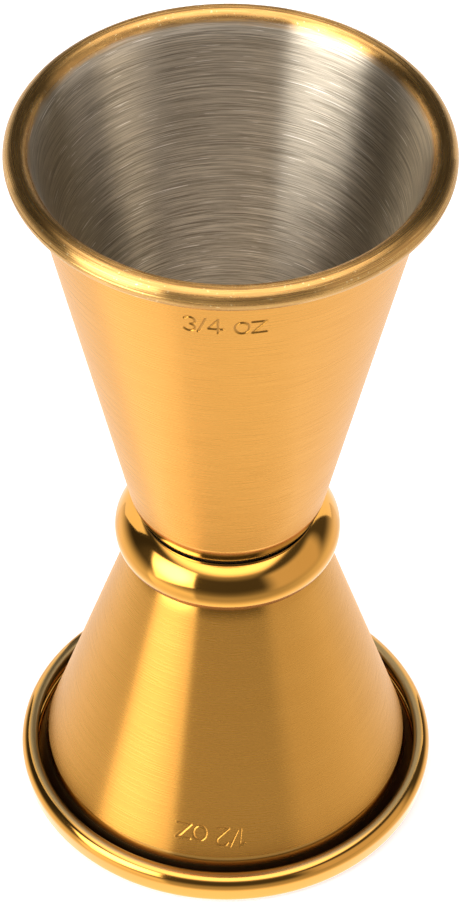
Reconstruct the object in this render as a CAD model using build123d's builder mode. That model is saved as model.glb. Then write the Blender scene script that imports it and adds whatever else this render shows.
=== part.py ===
from build123d import *
from math import atan2, cos, degrees, radians, sin, sqrt, tan
import os

# Bar jigger: two conical steel cups joined base to base, with a round ring at the waist.
# Millimetres, +Z up. The origin is on the axis, in the plane that the lower rim stands on.
# The upper cup opens upwards and the lower cup opens downwards.

# Overall
overall_height = 78.8       # between the flats on the two rims
rim_radius = 20.0           # outermost radius of both rolled rims
waist_z = 31.8              # plane where the two bases meet

# Sheet and rolled rim, the same on both cups
wall = 0.8                  # sheet thickness
curl_radius = 1.12          # outside radius of the rolled rim's section
curl_past = 8               # degrees that the sheet's edge runs on past the underside of the roll
flare_radius = 5.0          # concave radius, outside, that leads from the cone into the roll
rim_flat_depth = 0.03       # how far the crest of the roll is faced flat
leg_lean = 8                # degrees that a roll's straight outer side leans outwards, away from the mouth

# Upper cup
upper_neck_radius = 8.06    # outside radius of the cone, carried on to the waist plane
upper_half_angle = 12.38    # degrees from the axis
upper_corner = 7.0          # outside radius between cone and base

# Lower cup
lower_neck_radius = 8.48
lower_half_angle = 17.7
lower_corner = 5.3
lower_leg = 1.1             # straight outer side of this cup's roll, which makes it taller

# Ring at the waist: round outside, with a flatter shoulder that rises towards the upper cup
ring_centre_radius = 8.52
ring_section_radius = 2.1
shoulder_radius = 4.2
shoulder_start = 24         # degrees above level where the shoulder leaves the round section
shoulder_end = 64
shoulder_edge = 0.15        # radius of the ring's inner top edge
ring_inner_radius = 7.0     # of the ring's foot, where it meets the solder
solder_inner_radius = 5.7   # extent of the solder between the ring and the two cups
solder_top = 1.0            # above the waist plane
solder_bottom = 0.9         # below the waist plane

# Stamped capacity marks
mark_depth = 0.1
stroke = 0.22               # width of a stamped line
digit_height = 2.0
letter_height = 1.6
letter_width = 1.25
upper_mark_z = 71.65        # height of each mark's baseline
lower_mark_z = 7.15
upper_mark_start = -3.93    # left end of each mark, from the middle of its plane
lower_mark_start = -3.25
lower_mark_turn = -4.5      # degrees round the axis from the front, seen from above
lower_mark_tilt = -2.5      # degrees off level
mark_reach = 3.0            # how far a stamping body reaches to each side of its plane
glyph_gap = 0.25
word_gap = 1.05

upper_depth = overall_height - waist_z
lower_depth = waist_z

# Half section planes: x is the radius, y runs from a cup's base towards its rim
upper_section = Plane(origin=(0, 0, waist_z), x_dir=(1, 0, 0), z_dir=(0, -1, 0))
lower_section = Plane(origin=(0, 0, waist_z), x_dir=(1, 0, 0), z_dir=(0, 1, 0))


def corner_run(half_angle, corner):
    """Length that the rounded base corner takes from the base line and from the cone line."""
    return corner * tan(radians(90 - half_angle) / 2)


def wall_surface(neck_radius, half_angle, depth, corner, leg, inset):
    """Draw one surface of a cup's wall from the axis to the sheet's edge, and return the last arc.

    Inset 0 is the outside. Inset equal to the wall is the inside, parallel to it.
    """
    angle = radians(half_angle)
    up_cone = Vector(sin(angle), cos(angle))
    off_cone = Vector(cos(angle), -sin(angle))
    lean_run = leg * sin(radians(leg_lean))
    curl_centre = Vector(rim_radius - curl_radius - lean_run, depth + rim_flat_depth - curl_radius)
    from_neck = curl_centre - Vector(neck_radius, 0)
    clearance = from_neck.dot(off_cone)
    inner_curl = curl_radius - wall
    flare_run = sqrt((flare_radius - inner_curl) ** 2 - (flare_radius - clearance) ** 2)
    flare_turn = degrees(atan2(flare_run, flare_radius - clearance))
    run = corner_run(half_angle, corner)
    cone_length = from_neck.dot(up_cone) - flare_run - run
    crest_turn = 180 - leg_lean - half_angle - flare_turn
    end_turn = 90 + curl_past + leg_lean

    base = Line((0, inset), (neck_radius - run, inset))
    bend = JernArc(base @ 1, base % 1, corner - inset, 90 - half_angle)
    cone = Line(bend @ 1, bend @ 1 + (bend % 1) * cone_length)
    flare = JernArc(cone @ 1, cone % 1, flare_radius + inset, -flare_turn)
    crest = JernArc(flare @ 1, flare % 1, inner_curl + inset, -crest_turn)
    if not leg:
        return JernArc(crest @ 1, crest % 1, inner_curl + inset, -end_turn)
    side = Line(crest @ 1, crest @ 1 + (crest % 1) * leg)
    return JernArc(side @ 1, side % 1, inner_curl + inset, -end_turn)


def wall_outline(neck_radius, half_angle, depth, corner, leg):
    """Draw the closed outline of a cup's wall. The sheet's edge is fully rounded."""
    edge = wall_surface(neck_radius, half_angle, depth, corner, leg, 0)
    wall_surface(neck_radius, half_angle, depth, corner, leg, wall)
    JernArc(edge @ 1, edge % 1, wall / 2, 180)
    Line((0, 0), (0, wall))


def body_outline(neck_radius, half_angle, depth, corner):
    """Draw the outline of a cup's base and cone as if it were solid."""
    run = corner_run(half_angle, corner)
    base = Line((0, 0), (neck_radius - run, 0))
    bend = JernArc(base @ 1, base % 1, corner, 90 - half_angle)
    cone = Line(bend @ 1, (neck_radius + depth * tan(radians(half_angle)), depth))
    Polyline(cone @ 1, (0, depth), (0, 0))


def ring_outline():
    """Draw the ring's section, from its underside round the outside to the edge by the upper cup."""
    outer = CenterArc((ring_centre_radius, 0), ring_section_radius, -90, 90 + shoulder_start)
    shoulder = JernArc(outer @ 1, outer % 1, shoulder_radius, shoulder_end - shoulder_start)
    edge = JernArc(shoulder @ 1, shoulder % 1, shoulder_edge, 180 - shoulder_end)
    Polyline(edge @ 1, (ring_inner_radius, solder_top), (ring_inner_radius, -ring_section_radius), outer @ 0)


def stamping_band(neck_radius, half_angle, depth):
    """Draw the section of the layer of a cone that a stamped mark takes away."""
    slope = tan(radians(half_angle))
    sunk = mark_depth / cos(radians(half_angle))
    low = neck_radius + depth / 2 * slope
    high = neck_radius + depth * slope
    Polyline(
        (low - sunk, depth / 2),
        (low + 1, depth / 2),
        (high + 1, depth),
        (high - sunk, depth),
        close=True,
    )


# Stamped glyphs. Each one draws its strokes with its lower left corner at x on the baseline,
# and returns its width.


def one(x):
    stem = x + 0.22 * digit_height
    Polyline((x, 0.76 * digit_height), (stem, digit_height), (stem, 0))
    return 0.22 * digit_height


def two(x):
    bowl = 0.27 * digit_height
    arc = CenterArc((x + bowl, digit_height - bowl), bowl, 165, -200)
    Polyline(arc @ 1, (x, 0), (x + 2 * bowl, 0))
    return 2 * bowl


def three(x):
    bowl = digit_height / 4
    CenterArc((x + bowl, digit_height - bowl), bowl, 150, -230)
    CenterArc((x + bowl, bowl), bowl, 80, -230)
    return 2 * bowl


def four(x):
    Polyline(
        (x + 0.42 * digit_height, 0),
        (x + 0.42 * digit_height, digit_height),
        (x, 0.3 * digit_height),
        (x + 0.62 * digit_height, 0.3 * digit_height),
    )
    return 0.62 * digit_height


def slash(x):
    Line((x, 0), (x + 0.32 * digit_height, digit_height))
    return 0.32 * digit_height


def letter_o(x):
    EllipticalCenterArc((x + letter_width / 2, letter_height / 2), letter_width / 2, letter_height / 2)
    return letter_width


def letter_z(x):
    Polyline((x, letter_height), (x + letter_width, letter_height), (x, 0), (x + letter_width, 0))
    return letter_width


def capacity_mark(numerator, denominator, start):
    """Draw a fraction and its unit, such as 1/2 oz, beginning at start on the baseline."""
    x = start
    for glyph in (numerator, slash, denominator):
        x += glyph(x) + glyph_gap
    x += word_gap - glyph_gap
    x += letter_o(x) + glyph_gap
    letter_z(x)


# Planes that the marks are stamped on: tangent to each cone at the front, upright for a reader who
# holds that cup's mouth upwards
upper_mark_radius = upper_neck_radius + (upper_mark_z - waist_z) * tan(radians(upper_half_angle))
lower_mark_radius = lower_neck_radius + (waist_z - lower_mark_z) * tan(radians(lower_half_angle))
upper_mark_plane = Plane(
    origin=(0, -upper_mark_radius, upper_mark_z),
    x_dir=(1, 0, 0),
    z_dir=(0, -cos(radians(upper_half_angle)), -sin(radians(upper_half_angle))),
)
lower_mark_plane = Plane(
    origin=(0, -lower_mark_radius, lower_mark_z),
    x_dir=(-1, 0, 0),
    z_dir=(0, -cos(radians(lower_half_angle)), sin(radians(lower_half_angle))),
)

with BuildPart() as upper_mark:
    with BuildSketch(upper_mark_plane):
        with BuildLine():
            capacity_mark(three, four, upper_mark_start)
        trace(line_width=stroke)
    extrude(amount=mark_reach, both=True)
    with BuildSketch(upper_section):
        with BuildLine():
            stamping_band(upper_neck_radius, upper_half_angle, upper_depth)
        make_face()
    revolve(axis=Axis.Z, mode=Mode.INTERSECT)

with BuildPart() as lower_mark:
    with BuildSketch(lower_mark_plane.rotated((0, 0, lower_mark_tilt))):
        with BuildLine():
            capacity_mark(one, two, lower_mark_start)
        trace(line_width=stroke)
    extrude(amount=mark_reach, both=True)
    with BuildSketch(lower_section):
        with BuildLine():
            stamping_band(lower_neck_radius, lower_half_angle, lower_depth)
        make_face()
    revolve(axis=Axis.Z, mode=Mode.INTERSECT)

# Upper cup: the larger measure
with BuildPart() as upper_cup:
    with BuildSketch(upper_section):
        with BuildLine():
            wall_outline(upper_neck_radius, upper_half_angle, upper_depth, upper_corner, 0)
        make_face()
    revolve(axis=Axis.Z)
    split(bisect_by=Plane.XY.offset(overall_height), keep=Keep.BOTTOM)
    add(upper_mark.part, mode=Mode.SUBTRACT)
upper_cup.part.label = "upper_cup"

# Lower cup: the smaller measure, mouth down
with BuildPart() as lower_cup:
    with BuildSketch(lower_section):
        with BuildLine():
            wall_outline(lower_neck_radius, lower_half_angle, lower_depth, lower_corner, lower_leg)
        make_face()
    revolve(axis=Axis.Z)
    split(bisect_by=Plane.XY, keep=Keep.TOP)
    add(lower_mark.part.rotate(Axis.Z, lower_mark_turn), mode=Mode.SUBTRACT)
lower_cup.part.label = "lower_cup"

# The two cups' bases and cones as solids, which the ring and the solder are fitted to
with BuildPart() as upper_body:
    with BuildSketch(upper_section):
        with BuildLine():
            body_outline(upper_neck_radius, upper_half_angle, upper_depth, upper_corner)
        make_face()
    revolve(axis=Axis.Z)

with BuildPart() as lower_body:
    with BuildSketch(lower_section):
        with BuildLine():
            body_outline(lower_neck_radius, lower_half_angle, lower_depth, lower_corner)
        make_face()
    revolve(axis=Axis.Z)

# Waist ring: seated on the lower cup's shoulder
with BuildPart() as waist_ring:
    with BuildSketch(upper_section):
        with BuildLine():
            ring_outline()
        make_face()
    revolve(axis=Axis.Z)
    add(lower_body.part, mode=Mode.SUBTRACT)
waist_ring.part.label = "waist_ring"

# Waist solder: fills the groove between the two cups, inside the ring
with BuildPart() as waist_solder:
    with BuildSketch(upper_section):
        with Locations((solder_inner_radius, -solder_bottom)):
            Rectangle(
                ring_centre_radius - solder_inner_radius,
                solder_bottom + solder_top,
                align=(Align.MIN, Align.MIN),
            )
    revolve(axis=Axis.Z)
    add([waist_ring.part, lower_body.part, upper_body.part], mode=Mode.SUBTRACT)
waist_solder.part.label = "waist_solder"

os.makedirs("parts", exist_ok=True)
for piece in (upper_cup, lower_cup, waist_ring, waist_solder):
    export_step(piece.part, f"parts/{piece.part.label}.step")
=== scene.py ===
import math

import bmesh
import bpy
from mathutils import Matrix, Vector


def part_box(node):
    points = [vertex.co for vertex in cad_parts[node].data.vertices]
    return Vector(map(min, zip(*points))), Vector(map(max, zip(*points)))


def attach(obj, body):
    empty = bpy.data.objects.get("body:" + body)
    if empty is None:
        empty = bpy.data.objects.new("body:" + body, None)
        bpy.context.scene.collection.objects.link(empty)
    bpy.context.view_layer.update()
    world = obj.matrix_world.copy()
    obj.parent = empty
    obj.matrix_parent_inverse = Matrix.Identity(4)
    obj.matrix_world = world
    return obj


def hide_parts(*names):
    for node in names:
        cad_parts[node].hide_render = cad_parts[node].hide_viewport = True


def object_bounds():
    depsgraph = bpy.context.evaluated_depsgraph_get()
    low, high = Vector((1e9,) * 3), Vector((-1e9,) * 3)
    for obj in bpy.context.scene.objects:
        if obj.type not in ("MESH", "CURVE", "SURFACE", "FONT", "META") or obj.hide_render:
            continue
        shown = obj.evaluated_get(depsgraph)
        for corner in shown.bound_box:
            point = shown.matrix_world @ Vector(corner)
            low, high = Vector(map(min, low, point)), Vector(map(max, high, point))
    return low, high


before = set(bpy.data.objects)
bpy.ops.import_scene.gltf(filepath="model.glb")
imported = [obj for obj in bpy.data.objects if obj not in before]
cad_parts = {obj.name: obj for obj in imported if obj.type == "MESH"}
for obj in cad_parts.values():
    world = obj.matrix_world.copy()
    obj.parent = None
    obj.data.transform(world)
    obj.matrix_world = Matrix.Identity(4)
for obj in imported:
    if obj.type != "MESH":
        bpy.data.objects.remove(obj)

# A bar jigger: two conical steel cups joined base to base with a round ring at the waist.
# Gold-coloured outside, bare brushed steel inside. Metres, in the frame of the CAD model.

MM = 0.001
cad_low, cad_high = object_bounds()

# Places and sizes that the frame gives
upper_low, upper_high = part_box("upper_cup")
ring_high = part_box("waist_ring")[1]
rim_radius = min(upper_high.x, upper_high.y)
waist_z = upper_low.z
upper_depth = upper_high.z - waist_z
lower_depth = waist_z - cad_low.z

# Sheet and rolled rim, as in the CAD model
wall = 0.8 * MM
curl_radius = 1.12 * MM
curl_past = math.radians(8)
flare_radius = 5.0 * MM
rim_flat_depth = 0.03 * MM
lower_leg = 1.1 * MM            # the lower rim's roll is taller by a straight stretch outside
leg_lean = math.radians(8)

# Cones: outside radius carried on to the waist plane, half angle, corner radius at the base
upper_neck = 8.06 * MM
upper_angle = math.radians(12.38)
upper_corner = 7.0 * MM
lower_neck = 8.48 * MM
lower_angle = math.radians(17.7)
lower_corner = 5.3 * MM

# Ring: round outside, with a flatter shoulder that rises towards the upper cup
ring_section = 2.1 * MM
ring_centre = ring_high.x - ring_section
shoulder_radius = 4.2 * MM
shoulder_start = math.radians(24)
shoulder_end = math.radians(64)
shoulder_edge = 0.15 * MM
ring_inner_radius = 7.0 * MM    # of the ring's foot
ring_inner_low = 1.0 * MM       # above the waist plane

# Heights at which the polished lips begin
upper_polish_z = 75.6 * MM
lower_polish_z = 3.95 * MM

# Stamped capacity marks
digit_height = 2.0 * MM
letter_height = 1.6 * MM
letter_width = 1.25 * MM
glyph_gap = 0.25 * MM
word_gap = 1.05 * MM
mark_depth = 0.1 * MM
faint_mark_depth = 0.55 * mark_depth    # of the lower mark
stroke_half = 0.11 * MM
mark_reach = 0.9 * MM       # of the finely divided rows, past the digits
mark_margin = 0.5 * MM      # of the finely divided faces, past the strokes
mark_off_plane = 2 * MM     # how far the cone may curve away from the mark's plane
mark_cuts = 6
groove_reach = 3            # in stroke halves from a stroke's middle
ridge_place = 1.6           # likewise, of the ridge that the groove pushes up
ridge_width = 0.6
ridge_share = 0.08          # of the groove's depth
upper_mark_z = 71.65 * MM
lower_mark_z = 7.15 * MM
upper_mark_start = -3.93 * MM
lower_mark_start = -3.25 * MM
lower_mark_turn = math.radians(-4.5)
lower_mark_tilt = math.radians(-2.5)

# Faces round the axis, and rows of faces along each stretch of an outline
segments = 352
base_rows = 4
corner_rows = 28
inner_cone_rows = 30
below_mark_rows = 12
mark_rows = 12
above_mark_rows = 2
polished_cone_rows = 3
flare_rows = 14
leg_rows = 2
outer_roll_rows = (32, 20)  # of the roll's outer surface, before the leg and after it
inner_roll_rows = (12, 8)
edge_rows = 10
ring_rows = 38
shoulder_rows = 24
on_axis = 1e-9              # a radius smaller than this is a point on the axis

# Finishes of a cup, in the order of its material slots
BASE, CONE, LIP, INSIDE = range(4)

# The vertex attribute that says how deep in a stamped stroke a point is
PRESSED = "pressed"


# ---------------------------------------------------------------- outlines


class Pen:
    """Draws an outline in a half section by straight runs and tangent bends."""

    def __init__(self, radius, height):
        self.points = [(radius, height)]
        self.heading = 0.0

    def straight(self, length, steps):
        radius, height = self.points[-1]
        across, up = math.cos(self.heading), math.sin(self.heading)
        for i in range(1, steps + 1):
            run = length * i / steps
            self.points.append((radius + run * across, height + run * up))

    def bend(self, radius, turn, steps):
        """A positive turn is to the left."""
        side = math.copysign(radius, turn)
        x, y = self.points[-1]
        cx = x - side * math.sin(self.heading)
        cy = y + side * math.cos(self.heading)
        for i in range(1, steps + 1):
            h = self.heading + turn * i / steps
            self.points.append((cx + side * math.sin(h), cy - side * math.cos(h)))
        self.heading += turn


def wall_surface(neck, angle, depth, corner, leg, inset, mark_low, mark_high, polish):
    """One surface of a cup's wall, from the axis to the sheet's edge. Inset 0 is the outside.

    Outside, rows are close together between the heights mark_low and mark_high above the base,
    and there is a row at the height polish, where the brushed cone gives way to the polished lip.
    Leg is the length of the straight stretch on the outside of the rolled rim.
    Returns the points, the last heading and the number of points up to each zone's end.
    """
    curl_x = rim_radius - curl_radius - leg * math.sin(leg_lean)
    centre = Vector((curl_x, depth + rim_flat_depth - curl_radius))
    from_neck = centre - Vector((neck, 0))
    along = from_neck.dot(Vector((math.sin(angle), math.cos(angle))))
    clearance = from_neck.dot(Vector((math.cos(angle), -math.sin(angle))))
    inner_curl = curl_radius - wall
    flare_run = math.sqrt((flare_radius - inner_curl) ** 2 - (flare_radius - clearance) ** 2)
    flare_turn = math.atan2(flare_run, flare_radius - clearance)
    corner_turn = math.pi / 2 - angle
    corner_run = corner * math.tan(corner_turn / 2)
    cone_length = along - flare_run - corner_run
    curl_turn = 1.5 * math.pi + curl_past - angle - flare_turn

    pen = Pen(0, inset)
    ends = []
    pen.straight(neck - corner_run, base_rows)
    pen.bend(corner - inset, corner_turn, corner_rows)
    ends.append(len(pen.points))
    if inset:
        pen.straight(cone_length, inner_cone_rows)
        ends.append(len(pen.points))
    else:
        start = pen.points[-1][1]
        low = (mark_low - start) / math.cos(angle)
        high = (mark_high - start) / math.cos(angle)
        top = (polish - start) / math.cos(angle)
        pen.straight(low, below_mark_rows)
        pen.straight(high - low, mark_rows)
        pen.straight(top - high, above_mark_rows)
        ends.append(len(pen.points))
        pen.straight(cone_length - top, polished_cone_rows)
    pen.bend(flare_radius + inset, -flare_turn, flare_rows)
    before_leg = math.pi - angle - flare_turn - leg_lean
    rows_before, rows_after = outer_roll_rows if inset else inner_roll_rows
    pen.bend(inner_curl + inset, -before_leg, rows_before)
    pen.straight(leg, leg_rows)
    pen.bend(inner_curl + inset, before_leg - curl_turn, rows_after)
    return [(r, min(h, depth)) for r, h in pen.points], pen.heading, ends


def wall_outline(neck, angle, depth, corner, leg, mark_low, mark_high, polish):
    """The closed outline of a cup's wall, and the finish of each of its rows of faces."""
    shape = (neck, angle, depth, corner, leg)
    outside, heading, outer_ends = wall_surface(*shape, 0, mark_low, mark_high, polish)
    inside, _, inner_ends = wall_surface(*shape, wall, mark_low, mark_high, polish)
    edge = Pen(*outside[-1])
    edge.heading = heading
    edge.bend(wall / 2, math.pi, edge_rows)
    points = outside + edge.points[1:-1] + inside[::-1]
    finishes = []
    for number in range(len(points)):
        if number < outer_ends[0] - 1:
            finishes.append(BASE)
        elif number < outer_ends[1] - 1:
            finishes.append(CONE)
        elif number < len(points) - inner_ends[1]:
            finishes.append(LIP)
        else:
            finishes.append(INSIDE)
    return points, finishes


def ring_outline():
    """The ring's section, seated on the lower cup's shoulder. Heights are above the waist plane."""
    corner_run = lower_corner * math.tan((math.pi / 2 - lower_angle) / 2)
    seat = Vector((lower_neck - corner_run, -lower_corner))
    middle = Vector((ring_centre, 0))

    def arc(centre, radius, start, end, steps):
        angles = [start + (end - start) * i / steps for i in range(steps + 1)]
        return [centre + radius * Vector((math.cos(a), math.sin(a))) for a in angles]

    outer = arc(middle, ring_section, -math.pi / 2, shoulder_start, ring_rows)
    outer = [p for p in outer if (p - seat).length > lower_corner]
    start_way = Vector((math.cos(shoulder_start), math.sin(shoulder_start)))
    end_way = Vector((math.cos(shoulder_end), math.sin(shoulder_end)))
    shoulder_centre = middle + (ring_section - shoulder_radius) * start_way
    shoulder = arc(shoulder_centre, shoulder_radius, shoulder_start, shoulder_end, shoulder_rows)
    edge_centre = shoulder_centre + (shoulder_radius - shoulder_edge) * end_way
    edge = arc(edge_centre, shoulder_edge, shoulder_end, math.pi, edge_rows)
    inner = Vector((ring_inner_radius, ring_inner_low))
    first, last = outer[0] - seat, inner - seat
    a_first = math.atan2(first.y, first.x)
    a_last = math.atan2(last.y, last.x)
    bed = arc(seat, lower_corner, a_last, a_first, edge_rows)
    points = outer + shoulder[1:] + edge[1:] + bed[:-1]
    return [(p.x, p.y) for p in points]


# ---------------------------------------------------------------- meshes


def lathe(outline, base_z, up, closed):
    """Turns an outline round the axis. Each face's material index is the number of its row.

    Up is 1 for a cup that opens upwards and -1 for one that opens down.
    """
    bm = bmesh.new()
    bm.verts.layers.float.new(PRESSED)
    rows = []
    for radius, height in outline:
        z = base_z + up * height
        if radius < on_axis:
            rows.append([bm.verts.new((0, 0, z))])
            continue
        row = []
        for i in range(segments):
            a = 2 * math.pi * i / segments
            row.append(bm.verts.new((radius * math.cos(a), radius * math.sin(a), z)))
        rows.append(row)
    pairs = list(zip(rows, rows[1:]))
    if closed:
        pairs.append((rows[-1], rows[0]))
    for number, (a, b) in enumerate(pairs):
        for i in range(segments):
            j = (i + 1) % segments
            if len(a) == 1:
                corners = (a[0], b[i], b[j])
            elif len(b) == 1:
                corners = (a[i], b[0], a[j])
            else:
                corners = (a[i], b[i], b[j], a[j])
            face = bm.faces.new(corners)
            face.smooth = True
            face.material_index = number
    return bm


def finish_mesh(bm, name, materials):
    """Makes an object of a bmesh that rides on the part's one body."""
    bmesh.ops.recalc_face_normals(bm, faces=bm.faces)
    mesh = bpy.data.meshes.new(name)
    bm.to_mesh(mesh)
    bm.free()
    piece = bpy.data.objects.new(name, mesh)
    bpy.context.collection.objects.link(piece)
    for material in materials:
        mesh.materials.append(material)
    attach(piece, "root")
    return piece


# ---------------------------------------------------------------- stamped marks


def arc_points(cx, cy, rx, ry, start, turn, steps=16):
    """Points along part of an ellipse. Start and turn are in degrees."""
    angles = [math.radians(start + turn * i / steps) for i in range(steps + 1)]
    return [(cx + rx * math.cos(a), cy + ry * math.sin(a)) for a in angles]


# Each glyph takes its left edge and returns its width and its strokes


def one(x):
    h = digit_height
    stem, flag = 0.22 * h, 0.76 * h
    return stem, [[(x, flag), (x + stem, h), (x + stem, 0)]]


def two(x):
    h = digit_height
    bowl = 0.27 * h
    arc = arc_points(x + bowl, h - bowl, bowl, bowl, 165, -200)
    return 2 * bowl, [arc + [(x, 0), (x + 2 * bowl, 0)]]


def three(x):
    h = digit_height
    bowl = h / 4
    top = arc_points(x + bowl, h - bowl, bowl, bowl, 150, -230)
    bottom = arc_points(x + bowl, bowl, bowl, bowl, 80, -230)
    return 2 * bowl, [top, bottom]


def four(x):
    h = digit_height
    width, stem, bar = 0.62 * h, 0.42 * h, 0.3 * h
    return width, [[(x + stem, 0), (x + stem, h), (x, bar), (x + width, bar)]]


def slash(x):
    h = digit_height
    width = 0.32 * h
    return width, [[(x, 0), (x + width, h)]]


def letter_o(x):
    w, h = letter_width / 2, letter_height / 2
    return letter_width, [arc_points(x + w, h, w, h, 0, 360, 32)]


def letter_z(x):
    w, h = letter_width, letter_height
    return w, [[(x, h), (x + w, h), (x, 0), (x + w, 0)]]


def capacity_mark(numerator, denominator, start):
    """The strokes of a fraction and its unit, as straight pieces."""
    x = start
    lines = []
    for glyph, gap in (
        (numerator, glyph_gap),
        (slash, glyph_gap),
        (denominator, word_gap),
        (letter_o, glyph_gap),
        (letter_z, 0),
    ):
        width, strokes = glyph(x)
        lines += strokes
        x += width + gap
    pieces = []
    for line in lines:
        pieces += [(Vector(a), Vector(b)) for a, b in zip(line, line[1:])]
    return pieces


def distance(p, piece):
    """How far a point is from a straight piece of a stroke."""
    a, b = piece
    ab = b - a
    t = max(0.0, min(1.0, (p - a).dot(ab) / ab.length_squared))
    return (p - a - ab * t).length


def stamp(bm, zone, strokes, to_plane, surface_radius, outward, press):
    """Presses strokes into the faces of zone, which it divides finely first.

    to_plane takes a point to the mark's plane: x along the line, y up it, z out of the surface.
    surface_radius gives the cone's radius at a height. Outward is the elevation of the cone's
    normal, and press is the strokes' depth.
    """
    xs = [p.x for piece in strokes for p in piece]
    ys = [p.y for piece in strokes for p in piece]

    def in_reach(p):
        q = to_plane @ p
        level = min(ys) - mark_margin < q.y < max(ys) + mark_margin
        beside = min(xs) - mark_margin < q.x < max(xs) + mark_margin
        return level and beside and abs(q.z) < mark_off_plane

    chosen = [f for f in zone if in_reach(f.calc_center_median())]
    edges = list({e for f in chosen for e in f.edges})
    result = bmesh.ops.subdivide_edges(bm, edges=edges, cuts=mark_cuts, use_grid_fill=True)
    faces = [g for g in result["geom"] if isinstance(g, bmesh.types.BMFace)]
    points = {v for face in faces for v in face.verts}
    pressed = bm.verts.layers.float[PRESSED]
    for v in points:
        a = math.atan2(v.co.y, v.co.x)
        r = surface_radius(v.co.z)
        v.co.x, v.co.y = r * math.cos(a), r * math.sin(a)
    for v in points:
        q = to_plane @ v.co
        if not in_reach(v.co):
            continue
        p = Vector((q.x, q.y))
        d = min(distance(p, piece) for piece in strokes)
        if d > groove_reach * stroke_half:
            continue
        groove = math.exp(-((d / stroke_half) ** 4))
        ridge = math.exp(-(((d - ridge_place * stroke_half) / (ridge_width * stroke_half)) ** 2))
        a = math.atan2(v.co.y, v.co.x)
        out = Vector((math.cos(a), math.sin(a), 0))
        direction = (out * math.cos(outward) + Vector((0, 0, math.sin(outward)))).normalized()
        v.co += direction * press * (ridge_share * ridge - groove)
        v[pressed] = groove * press / mark_depth


# ---------------------------------------------------------------- materials


class Graph:
    """Builds a node tree in short lines."""

    def __init__(self, tree):
        self.tree = tree
        self.tree.nodes.clear()

    def add(self, kind, **settings):
        node = self.tree.nodes.new(kind)
        for key, value in settings.items():
            setattr(node, key, value)
        return node

    def link(self, a, b):
        self.tree.links.new(a, b)

    def put(self, socket, value):
        if isinstance(value, bpy.types.NodeSocket):
            self.link(value, socket)
        else:
            socket.default_value = value

    def math(self, operation, a, b=None):
        node = self.add("ShaderNodeMath", operation=operation)
        self.put(node.inputs[0], a)
        if b is not None:
            self.put(node.inputs[1], b)
        return node.outputs[0]

    def plus(self, a, b):
        return self.math("ADD", a, b)

    def times(self, a, b):
        return self.math("MULTIPLY", a, b)

    def split(self, vector):
        node = self.add("ShaderNodeSeparateXYZ")
        self.link(vector, node.inputs[0])
        return node.outputs

    def join(self, x, y, z):
        node = self.add("ShaderNodeCombineXYZ")
        for socket, value in zip(node.inputs, (x, y, z)):
            self.put(socket, value)
        return node.outputs[0]

    def along(self, vector, direction):
        node = self.add("ShaderNodeVectorMath", operation="DOT_PRODUCT")
        self.link(vector, node.inputs[0])
        node.inputs[1].default_value = direction
        return node.outputs["Value"]

    def ramp(self, value, low, high, to_low=0.0, to_high=1.0):
        """A smooth step from to_low to to_high as value goes from low to high."""
        node = self.add("ShaderNodeMapRange", interpolation_type="SMOOTHSTEP")
        self.put(node.inputs["Value"], value)
        self.put(node.inputs["From Min"], low)
        self.put(node.inputs["From Max"], high)
        self.put(node.inputs["To Min"], to_low)
        self.put(node.inputs["To Max"], to_high)
        return node.outputs[0]

    def between(self, value, low, high, soft):
        """One between low and high, with edges soft wide centred on them."""
        rise = self.ramp(value, low - soft / 2, low + soft / 2)
        fall = self.ramp(value, high - soft / 2, high + soft / 2, 1.0, 0.0)
        return self.times(rise, fall)

    def blend(self, factor, a, b):
        """A number: a where factor is 0 and b where it is 1."""
        node = self.add("ShaderNodeMix", data_type="FLOAT")
        self.put(node.inputs["Factor"], factor)
        self.put(node.inputs[2], a)
        self.put(node.inputs[3], b)
        return node.outputs[0]

    def mix(self, factor, a, b):
        """A colour: a where factor is 0 and b where it is 1."""
        node = self.add("ShaderNodeMix", data_type="RGBA")
        self.put(node.inputs["Factor"], factor)
        self.put(node.inputs[6], a)
        self.put(node.inputs[7], b)
        return node.outputs[2]

    def noise(self, vector, scale=1.0, detail=2.0, roughness=0.5):
        node = self.add("ShaderNodeTexNoise")
        self.link(vector, node.inputs["Vector"])
        self.put(node.inputs["Scale"], scale)
        self.put(node.inputs["Detail"], detail)
        self.put(node.inputs["Roughness"], roughness)
        return node.outputs["Fac"]


class Surface(Graph):
    """A material for turned metal, with the radius and height on the jigger's axis at hand."""

    def __init__(self, name):
        self.material = bpy.data.materials.new(name)
        self.material.use_nodes = True
        super().__init__(self.material.node_tree)
        self.shader = self.add("ShaderNodeBsdfPrincipled")
        output = self.add("ShaderNodeOutputMaterial")
        self.link(self.shader.outputs[0], output.inputs["Surface"])
        self.object = self.add("ShaderNodeTexCoord").outputs["Object"]
        x, y, self.z = self.split(self.object)
        self.r = self.math("SQRT", self.plus(self.times(x, x), self.times(y, y)))
        safe = self.math("MAXIMUM", self.r, 0.1 * MM)
        self.cos = self.math("DIVIDE", x, safe)
        self.sin = self.math("DIVIDE", y, safe)

    def set(self, name, value):
        self.put(self.shader.inputs[name], value)

    def turned(self, around, across, coordinate=None):
        """Coordinates for marks that run round the axis.

        Around is cells per radian, and across is cells per mm of coordinate, or of height.
        """
        height = self.times(self.z if coordinate is None else coordinate, across / MM)
        return self.join(self.times(self.cos, around), self.times(self.sin, around), height)

    def bump(self, height, distance):
        node = self.add("ShaderNodeBump")
        self.put(node.inputs["Height"], height)
        node.inputs["Strength"].default_value = 1.0
        node.inputs["Distance"].default_value = distance
        return node.outputs[0]

    def brushed_round(self):
        """Highlights spread across brush lines that run round the axis."""
        tangent = self.add("ShaderNodeTangent", direction_type="RADIAL", axis="Z")
        self.link(tangent.outputs[0], self.shader.inputs["Tangent"])
        self.set("Anisotropic", 1.0)
        self.set("Anisotropic Rotation", 0.25)


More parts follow.
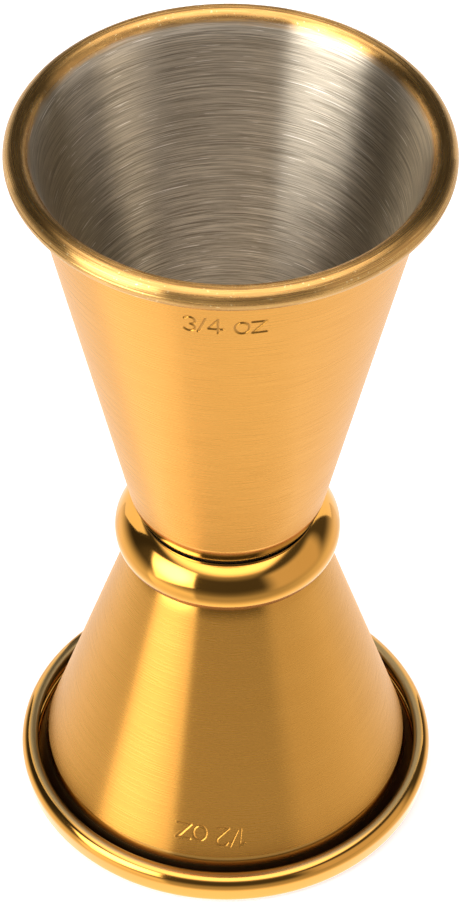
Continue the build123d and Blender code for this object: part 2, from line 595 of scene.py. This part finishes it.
GOLD = (0.72, 0.350, 0.068, 1)
GOLD_DEEP = (0.69, 0.325, 0.058, 1)
# painted shade for the bottoms of the stamped strokes
GOLD_STROKE_SHADE = (0.30, 0.145, 0.025, 1)
GOLD_SHADED = (0.40, 0.24, 0.07, 1)
# painted shade for the channel between the lower cone and its rolled bead
GOLD_CHANNEL_SHADE = (0.24, 0.165, 0.07, 1)
BRAZE = (0.64, 0.54, 0.35, 1)
COAT_LIGHT = (0.69, 0.40, 0.13, 1)
COAT_DARK = (0.43, 0.23, 0.068, 1)
COAT_SPECK = (0.92, 0.74, 0.42, 1)
STEEL = (0.57, 0.505, 0.40, 1)
STEEL_LIGHT = (0.76, 0.68, 0.55, 1)
STEEL_DARK = (0.28, 0.242, 0.188, 1)
STEEL_BRIGHT = (0.95, 0.90, 0.82, 1)
SOLDER_LIGHT = (0.62, 0.58, 0.50, 1)
SOLDER_DARK = (0.50, 0.45, 0.37, 1)
# painted shade: a dark colour painted into the crevices at the ring and along a line under the upper lip
PAINTED_SHADE = (0.17, 0.125, 0.07, 1)
WHITE = (1, 1, 1, 1)
BLACK = (0, 0, 0, 1)

# Most of a noise's values lie between these
NOISE_LOW, NOISE_HIGH = 0.3, 0.7

GOLD_PATCHES = 300          # cells per metre
LIP_SPECKS = 3500
SOLDER_GRAIN = 4000

# Roughness. A pair is for the low and the high end of what it varies with.
POLISHED = 0.09
CONE_ROUGHNESS = (0.25, 0.28)
INSIDE_ROUGHNESS = (0.33, 0.39)
LIP_ROUGHNESS = (0.23, 0.29)
WORN_ROUGHNESS = 0.34
DULL_ROUGHNESS = 0.4
CHANNEL_ROUGHNESS = 0.3
CORNER_ROUGHNESS = (0.30, 0.12)
SOLDER_ROUGHNESS = 0.4

# How far each painted shade, speck or band takes the colour under it
RING_SHADE = 0.6
STROKE_SHADE = 0.65
LIP_LINE_SHADE = 0.7
LIP_SPECK_SHARE = 0.4
UNDERSIDE_SHADE = 0.6
FOOT_STRIP_SHADE = 0.5
BAND_SHARE = 0.5

FINE_BUMP = 0.00009 * MM
LINE_BUMP = 0.0015 * MM


def satin_gold():
    """The brushed cones, with the lower cup's base corner."""
    g = Surface("satin_gold")
    g.set("Metallic", 1.0)
    fine = g.noise(g.turned(3, 9.0), detail=3)
    coarse = g.noise(g.turned(2, 0.5), detail=2)
    colour = g.mix(coarse, GOLD, GOLD_DEEP)
    # painted shade: the lower cup is darkened where it meets the ring
    ring_shade_low, ring_shade_high, ring_shade_edge = 30.0 * MM, 31.8 * MM, 0.7 * MM
    shade = g.between(g.z, ring_shade_low, ring_shade_high, ring_shade_edge)
    colour = g.mix(g.times(shade, RING_SHADE), colour, PAINTED_SHADE)
    # and painted shade darkens the stamped strokes at the bottom
    stroke = g.add("ShaderNodeAttribute", attribute_name=PRESSED).outputs["Fac"]
    g.set("Base Color", g.mix(g.times(stroke, STROKE_SHADE), colour, GOLD_STROKE_SHADE))
    g.set("Roughness", g.ramp(fine, NOISE_LOW, NOISE_HIGH, *CONE_ROUGHNESS))
    g.set("Normal", g.bump(fine, FINE_BUMP))
    g.brushed_round()
    return g.material


def steel_lines(g):
    """Bare steel brushed in long fine lines, with short light scratches: the lines and their colour."""
    lines = g.noise(g.turned(2.2, 8.5), detail=4, roughness=0.75)
    bands = g.noise(g.turned(0.9, 1.5), detail=2)
    dark_line, light_line = 0.35, 0.65
    colour = g.mix(g.ramp(lines, dark_line, light_line), STEEL_DARK, STEEL_LIGHT)
    colour = g.mix(g.ramp(bands, NOISE_LOW, NOISE_HIGH, 0.0, BAND_SHARE), colour, STEEL)
    # only the peaks of a noise are scratches, and only in some bands
    no_scratch, full_scratch = 0.665, 0.70
    bare_band, scratched_band = 0.40, 0.55
    peaks = g.ramp(g.noise(g.turned(4, 8.0), detail=1), no_scratch, full_scratch)
    scratch = g.times(peaks, g.ramp(bands, bare_band, scratched_band))
    return lines, g.mix(scratch, colour, STEEL_BRIGHT)


def brushed_inside():
    """The bare inside of a cup."""
    g = Surface("brushed_inside")
    g.set("Metallic", 1.0)
    lines, colour = steel_lines(g)
    g.set("Base Color", colour)
    g.set("Roughness", g.ramp(lines, NOISE_LOW, NOISE_HIGH, *INSIDE_ROUGHNESS))
    g.set("Normal", g.bump(lines, LINE_BUMP))
    g.brushed_round()
    return g.material


def worn_gold_lip():
    """The upper lip: finely scratched gold that is worn through to steel where it turns into the cup."""
    g = Surface("worn_gold_lip")
    g.set("Metallic", 1.0)
    lines, steel = steel_lines(g)
    # the lip turns over, so its lines are set out by radius and height together
    across = g.math("SUBTRACT", g.z, g.r)
    fine = g.noise(g.turned(3, 7.0, across), detail=3, roughness=0.7)
    # the edge of the worn part follows the lines
    worn_radius, coated_radius, wander = 17.5 * MM, 17.95 * MM, 0.5 * MM
    edge = g.plus(g.r, g.times(g.plus(fine, -0.5), wander))
    gold = g.ramp(edge, worn_radius, coated_radius)
    coat = g.mix(g.ramp(fine, NOISE_LOW, NOISE_HIGH), COAT_DARK, COAT_LIGHT)
    no_speck, full_speck = 0.74, 0.80
    speck = g.ramp(g.noise(g.object, LIP_SPECKS, detail=0), no_speck, full_speck, 0.0, LIP_SPECK_SHARE)
    coat = g.mix(speck, coat, COAT_SPECK)
    # painted shade: a fine dark line where the polishing stops, outside only
    line_low, line_high, line_edge = 75.50 * MM, 75.70 * MM, 0.1 * MM
    outside = g.ramp(g.r, 17.3 * MM, 17.5 * MM)
    line = g.times(g.between(g.z, line_low, line_high, line_edge), outside)
    coat = g.mix(g.times(line, LIP_LINE_SHADE), coat, PAINTED_SHADE)
    g.set("Base Color", g.mix(gold, steel, coat))
    scratched = g.ramp(fine, NOISE_LOW, NOISE_HIGH, *LIP_ROUGHNESS)
    g.set("Roughness", g.blend(gold, WORN_ROUGHNESS, scratched))
    g.set("Normal", g.bump(g.blend(gold, lines, fine), LINE_BUMP))
    g.brushed_round()
    return g.material


def polished_gold():
    """The polished ring, rougher and darkened with painted shade in the groove above it and where it meets
    the lower cup.
    """
    g = Surface("polished_gold")
    g.set("Metallic", 1.0)
    coarse = g.noise(g.object, GOLD_PATCHES, detail=2)
    # painted shade in the crevice by the upper cup and under the ring, where the roughness also rises
    groove = g.ramp(g.r, 8.44 * MM, 8.34 * MM)
    underside = g.ramp(g.z, 31.5 * MM, 31.0 * MM, 0.0, UNDERSIDE_SHADE)
    dull_and_shaded = g.math("MAXIMUM", groove, underside)
    g.set("Base Color", g.mix(dull_and_shaded, g.mix(coarse, GOLD, GOLD_DEEP), PAINTED_SHADE))
    g.set("Roughness", g.blend(dull_and_shaded, POLISHED, DULL_ROUGHNESS))
    return g.material


def polished_foot():
    """The polished lower lip, dull in the channel between the cone and the rolled bead, with painted shade
    darkening that channel and a strip up to the brushed cone.
    """
    g = Surface("polished_foot")
    g.set("Metallic", 1.0)
    coarse = g.noise(g.object, GOLD_PATCHES, detail=2)
    colour = g.mix(coarse, GOLD, GOLD_DEEP)
    # painted shade: a darker strip up to the brushed cone
    strip = g.ramp(g.z, 2.9 * MM, 3.4 * MM, 0.0, FOOT_STRIP_SHADE)
    colour = g.mix(strip, colour, GOLD_SHADED)
    # painted shade in the channel between the cone and the bead
    channel_inner, channel_outer, channel_edge = 17.55 * MM, 19.2 * MM, 0.35 * MM
    above_foot = g.ramp(g.z, 0.9 * MM, 1.2 * MM)
    channel = g.times(g.between(g.r, channel_inner, channel_outer, channel_edge), above_foot)
    g.set("Base Color", g.mix(channel, colour, GOLD_CHANNEL_SHADE))
    g.set("Roughness", g.blend(channel, POLISHED, CHANNEL_ROUGHNESS))
    return g.material


def brazed_corner():
    """The polished corner of the upper cup: paler where the braze runs up from the ring."""
    g = Surface("brazed_corner")
    g.set("Metallic", 1.0)
    coarse = g.noise(g.object, GOLD_PATCHES, detail=2)
    colour = g.mix(coarse, GOLD, GOLD_DEEP)
    braze = g.ramp(g.z, 37.1 * MM, 36.5 * MM)
    g.set("Base Color", g.mix(braze, colour, BRAZE))
    g.set("Roughness", g.ramp(g.z, 34.8 * MM, 35.6 * MM, *CORNER_ROUGHNESS))
    return g.material


def solder():
    g = Surface("solder")
    g.set("Metallic", 1.0)
    grain = g.noise(g.object, SOLDER_GRAIN, detail=3)
    g.set("Base Color", g.mix(grain, SOLDER_LIGHT, SOLDER_DARK))
    g.set("Roughness", SOLDER_ROUGHNESS)
    return g.material


# ---------------------------------------------------------------- pieces


def make_cup(
    name, node, neck, angle, depth, corner, leg, up, polish, mark_z, strokes, to_plane, press, materials
):
    """Builds one cup. Up is 1 for the cup that opens upwards and -1 for the one that opens down."""
    mark_base = abs(mark_z - waist_z)
    divided = (mark_base - mark_reach, mark_base + digit_height + mark_reach)
    outline, finishes = wall_outline(neck, angle, depth, corner, leg, *divided, polish)
    bm = lathe(outline, waist_z, up, closed=False)
    for face in bm.faces:
        face.material_index = finishes[face.material_index]
    front = [f for f in bm.faces if f.material_index == CONE and f.calc_center_median().y < 0]

    def surface_radius(z):
        return neck + abs(z - waist_z) * math.tan(angle)

    stamp(bm, front, strokes, to_plane, surface_radius, -up * angle, press)
    piece = finish_mesh(bm, name, materials)
    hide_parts(node)


def mark_frame(radius, z, slope, upside_down, turn, tilt):
    """The matrix that takes a point to a mark's plane, tangent to the cone at the front.

    Turn is round the jigger's axis and tilt is in the plane.
    """
    side = -1 if upside_down else 1
    normal = Vector((0, -math.cos(slope), -side * math.sin(slope)))
    across = Vector((side, 0, 0))
    up = normal.cross(across)
    m = Matrix((across, up, normal)).transposed().to_4x4()
    m.translation = Vector((0, -radius, z))
    m = Matrix.Rotation(turn, 4, "Z") @ m @ Matrix.Rotation(tilt, 4, "Z")
    return m.inverted()


gold_cone = satin_gold()
steel_inside = brushed_inside()
gold_lip = worn_gold_lip()
gold_ring = polished_gold()
gold_foot = polished_foot()
gold_corner = brazed_corner()

# Where the polished lips begin, above each cup's base
upper_polish = upper_polish_z - waist_z
lower_polish = waist_z - lower_polish_z

upper_mark_radius = upper_neck + (upper_mark_z - waist_z) * math.tan(upper_angle)
lower_mark_radius = lower_neck + (waist_z - lower_mark_z) * math.tan(lower_angle)

make_cup(
    "upper_cup_shell",
    "upper_cup",
    upper_neck,
    upper_angle,
    upper_depth,
    upper_corner,
    0,
    1,
    upper_polish,
    upper_mark_z,
    capacity_mark(three, four, upper_mark_start),
    mark_frame(upper_mark_radius, upper_mark_z, upper_angle, False, 0, 0),
    mark_depth,
    [gold_corner, gold_cone, gold_lip, steel_inside],
)
make_cup(
    "lower_cup_shell",
    "lower_cup",
    lower_neck,
    lower_angle,
    lower_depth,
    lower_corner,
    lower_leg,
    -1,
    lower_polish,
    lower_mark_z,
    capacity_mark(one, two, lower_mark_start),
    mark_frame(lower_mark_radius, lower_mark_z, lower_angle, True, lower_mark_turn, lower_mark_tilt),
    faint_mark_depth,
    [gold_cone, gold_cone, gold_foot, steel_inside],
)

ring_bm = lathe(ring_outline(), waist_z, 1, closed=True)
for ring_face in ring_bm.faces:
    ring_face.material_index = 0
ring = finish_mesh(ring_bm, "waist_ring_polished", [gold_ring])
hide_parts("waist_ring")

solder_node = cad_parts["waist_solder"]
solder_node.data.materials.clear()
solder_node.data.materials.append(solder())


# ---------------------------------------------------------------- floor, light and camera


def make_floor():
    """A plain white floor, left out of reflections because the world shows the table there."""
    radius, sides, glow = 3.0, 96, 0.6
    bm = bmesh.new()
    bmesh.ops.create_circle(bm, cap_ends=True, segments=sides, radius=radius)
    mesh = bpy.data.meshes.new("floor")
    bm.to_mesh(mesh)
    bm.free()
    floor = bpy.data.objects.new("floor", mesh)
    bpy.context.collection.objects.link(floor)
    floor.location.z = cad_low.z
    floor.visible_glossy = False
    g = Surface("floor_white")
    g.set("Base Color", (0.6, 0.6, 0.61, 1))
    g.set("Roughness", 1.0)
    g.set("Specular IOR Level", 0.0)
    g.set("Emission Color", WHITE)
    g.set("Emission Strength", glow)
    mesh.materials.append(g.material)


def facing(azimuth, elevation, roll):
    """A direction and the two across it. Azimuth is from the camera's side, positive to its right."""
    a, e, t = (math.radians(v) for v in (azimuth, elevation, roll))
    out = Vector((math.sin(a) * math.cos(e), -math.cos(a) * math.cos(e), math.sin(e)))
    across = Vector((math.cos(a), math.sin(a), 0))
    up = Vector((-math.sin(a) * math.sin(e), math.cos(a) * math.sin(e), math.cos(e)))
    return out, across * math.cos(t) + up * math.sin(t), up * math.cos(t) - across * math.sin(t)


# The studio is painted on the world by direction, as reflections show it. Angles are in degrees.
CARD_LIGHT = 0.68
OVERHEAD_LIGHT = 2.4
STUDIO_STRENGTH = 1.29
LIGHT_TINT = (1.0, 0.99, 0.97, 1)
WARM_TINT = (1.0, 0.94, 0.92, 1)


def room_light(g, azimuth):
    """A dark room, darker still on the left towards the back."""
    plain, dark = 0.07, 0.035
    dark_from, dark_to, soft = -130, -96, 14
    return g.blend(g.between(azimuth, dark_from, dark_to, soft), plain, dark)


def table_light(g, azimuth, elevation):
    """A white table: dimmer in front, brighter to the sides, behind and straight down."""
    front, back, front_light, back_light = 30, 130, 0.46, 0.95
    table = g.ramp(g.math("ABSOLUTE", azimuth), front, back, front_light, back_light)
    # a little more light on the left
    left_most, left_least, left_extra = -120, -20, 0.12
    left_from, left_to, left_soft = -135, 0, 30
    more = g.ramp(azimuth, left_most, left_least, left_extra, 0.0)
    table = g.plus(table, g.times(more, g.between(azimuth, left_from, left_to, left_soft)))
    # and a patch where the softbox lights it
    patch_from, patch_to, patch_soft = -75, -29, 5
    patch_near, patch_far, patch_light = -62, -12, 0.65
    patch = g.ramp(elevation, patch_near, patch_far, 0.0, patch_light)
    table = g.plus(table, g.times(g.between(azimuth, patch_from, patch_to, patch_soft), patch))
    below_start, below_full, below_light = -22, -68, 1.33
    return g.blend(g.ramp(elevation, below_start, below_full), table, below_light)


def card_mask(g, azimuth, elevation):
    """A card on the right, whose far edge leans."""
    lean = -0.45
    near_start, near_full, far_full, far_end = 32, 50, 88, 104
    foot_start, foot_full, top_full, top_end = -12, 4, 34, 46
    far_edge = g.plus(azimuth, g.times(elevation, lean))
    sides = g.times(g.ramp(azimuth, near_start, near_full), g.ramp(far_edge, far_full, far_end, 1.0, 0.0))
    top = g.ramp(elevation, top_full, top_end, 1.0, 0.0)
    return g.times(sides, g.times(top, g.ramp(elevation, foot_start, foot_full)))


def softbox(g, way):
    """A large softbox on the left, brightest near its middle: its mask and its light."""
    out, across, up = facing(azimuth=-71, elevation=20.6, roll=24.5)
    # its edges and its brightest place, as shares of its distance
    u_low, u_high, v_low, v_high, soft = -0.10, 0.72, -0.43, 0.42, 0.08
    u_middle, v_middle, reach = 0.31, 0.05, 0.22
    brightest, edge_light = 6.0, 2.4
    least_depth, full_depth = 0.02, 0.1
    towards = g.along(way, out)
    depth = g.math("MAXIMUM", towards, least_depth)
    u = g.math("DIVIDE", g.along(way, across), depth)
    v = g.math("DIVIDE", g.along(way, up), depth)
    box = g.times(g.between(u, u_low, u_high, soft), g.between(v, v_low, v_high, soft))
    box = g.times(box, g.ramp(towards, least_depth, full_depth))
    off_u = g.plus(u, -u_middle)
    off_v = g.plus(v, -v_middle)
    away = g.plus(g.times(off_u, off_u), g.times(off_v, off_v))
    return box, g.ramp(away, 0.0, reach, brightest, edge_light)


def overhead(g, x, y, z):
    """A large round softbox overhead, cut off at both sides, with a faint halo towards the camera."""
    # places on it are shares of its height
    least_height, lowest, low = 0.02, 0.1, 0.3
    cut_left, cut_right, cut_soft = -0.85, 0.62, 0.25
    box_end, box_full, halo_end, halo_full, halo_light = 0.88, 0.50, 1.3, 0.7, 0.3
    halo_behind, halo_front = 0.0, -0.4
    high = g.math("MAXIMUM", z, least_height)
    side = g.math("DIVIDE", x, high)
    behind = g.math("DIVIDE", y, high)
    spread = g.math("SQRT", g.plus(g.times(side, side), g.times(behind, behind)))
    uncut = g.times(g.between(side, cut_left, cut_right, cut_soft), g.ramp(z, lowest, low))
    halo = g.ramp(spread, halo_end, halo_full, 0.0, halo_light)
    halo = g.times(halo, g.ramp(behind, halo_behind, halo_front))
    return g.times(uncut, g.ramp(spread, box_end, box_full)), g.times(uncut, halo)


def make_world():
    """A studio round the jigger: a dark room, a white table, a card on the right and two softboxes."""
    world = bpy.data.worlds.new("studio")
    world.use_nodes = True
    bpy.context.scene.world = world
    g = Graph(world.node_tree)
    way = g.add("ShaderNodeTexCoord").outputs["Generated"]
    x, y, z = g.split(way)
    azimuth = g.times(g.math("ARCTAN2", x, g.times(y, -1.0)), 180 / math.pi)
    elevation = g.times(g.math("ARCSINE", z), 180 / math.pi)

    table_full, table_end = -16, 16
    on_table = g.ramp(elevation, table_full, table_end, 1.0, 0.0)
    light = g.blend(on_table, room_light(g, azimuth), table_light(g, azimuth, elevation))
    card = card_mask(g, azimuth, elevation)
    light = g.blend(card, light, CARD_LIGHT)
    box, box_light = softbox(g, way)
    light = g.blend(box, light, box_light)
    top, halo = overhead(g, x, y, z)
    light = g.plus(light, halo)
    light = g.blend(top, light, OVERHEAD_LIGHT)

    shade = g.add("ShaderNodeBackground")
    warm = g.math("MAXIMUM", top, card)
    g.put(shade.inputs["Color"], g.mix(warm, LIGHT_TINT, WARM_TINT))
    g.put(shade.inputs["Strength"], g.times(light, STUDIO_STRENGTH))
    output = g.add("ShaderNodeOutputWorld")
    g.link(shade.outputs[0], output.inputs["Surface"])


def make_card(name, foot_line):
    """A low curved white card close behind the jigger, seen only in its reflections.

    foot_line lists the card's azimuths with the height of its lower edge at each, in mm.
    """
    radius, top = 70 * MM, 96 * MM
    glow, top_glow, fade_start = 1.45, 0.08, 0.86 * top
    bm = bmesh.new()
    rows = []
    for azimuth, foot in foot_line:
        a = math.radians(azimuth)
        x, y = radius * math.sin(a), -radius * math.cos(a)
        rows.append((bm.verts.new((x, y, foot * MM)), bm.verts.new((x, y, top))))
    for here, there in zip(rows, rows[1:]):
        bm.faces.new((here[0], there[0], there[1], here[1]))
    mesh = bpy.data.meshes.new(name)
    bm.to_mesh(mesh)
    bm.free()
    card = bpy.data.objects.new(name, mesh)
    bpy.context.collection.objects.link(card)
    card.visible_camera = False
    card.visible_shadow = False
    card.visible_diffuse = False
    g = Surface(name + "_white")
    g.set("Base Color", BLACK)
    g.set("Specular IOR Level", 0.0)
    g.set("Emission Color", WHITE)
    g.set("Emission Strength", g.ramp(g.z, fade_start, top, glow, top_glow))
    mesh.materials.append(g.material)


def make_camera():
    """The camera looks down at the jigger's middle from the front."""
    pitch = math.radians(44.37)
    roll = math.radians(0.49)
    distance_to_axis = 456.69 * MM
    target = Vector((0, 0, 38.86 * MM))
    back = Vector((0, -math.cos(pitch), math.sin(pitch)))
    data = bpy.data.cameras.new("camera")
    data.sensor_width = 36
    data.lens = 195.55
    data.shift_x = 0.0028
    data.shift_y = 0.0200
    data.clip_start = 0.01
    data.clip_end = 20
    camera = bpy.data.objects.new("camera", data)
    bpy.context.collection.objects.link(camera)
    turn = (-back).to_track_quat("-Z", "Y").to_matrix().to_4x4()
    place = Matrix.Translation(target + back * distance_to_axis)
    camera.matrix_world = place @ turn @ Matrix.Rotation(roll, 4, "Z")
    bpy.context.scene.camera = camera


make_floor()
# Where a card's foot is raised, the table shows below it
make_card("card_left", [(-150, 0), (-142, 0), (-134, 0), (-133, 30), (-124, 34), (-116, 48), (-108, 66)])
make_card("card_right", [(123, 30), (129, 30), (134, 30), (135, 0), (144, 0), (153, 0), (162, 0), (172, 0)])
make_world()
make_camera()
bpy.context.scene.view_settings.view_transform = "Standard"
